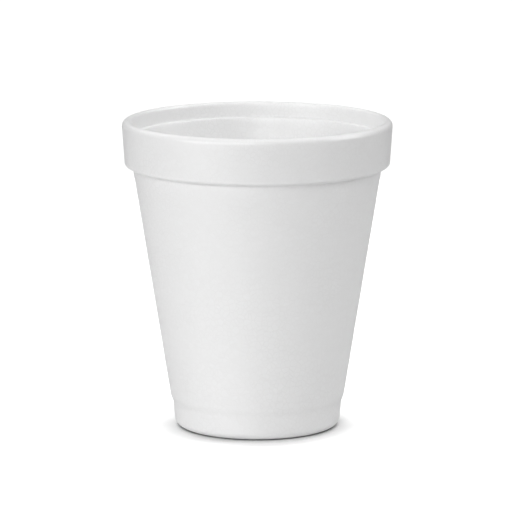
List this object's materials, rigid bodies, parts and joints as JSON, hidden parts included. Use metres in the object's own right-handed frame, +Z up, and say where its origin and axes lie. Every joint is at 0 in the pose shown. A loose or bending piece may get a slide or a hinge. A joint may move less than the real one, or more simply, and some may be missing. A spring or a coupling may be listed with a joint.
{
  "type": "foam cup",
  "caption": "Tapered foam drinking cup with a thick band round the mouth, a rounded lip, a stepped heel and an open, empty inside.",
  "frame": {"origin": "centre of the flat ring that the cup stands on", "axes": "+Z up along the cup's axis; the cup is round, so +X and +Y are any two level directions at right angles"},
  "size_m": [0.0776, 0.0776, 0.089],
  "materials": {
    "foam": "smooth satin white moulded bead foam"
  },
  "bodies": {
    "root": {"cup": "foam"}
  },
  "joints": []
}
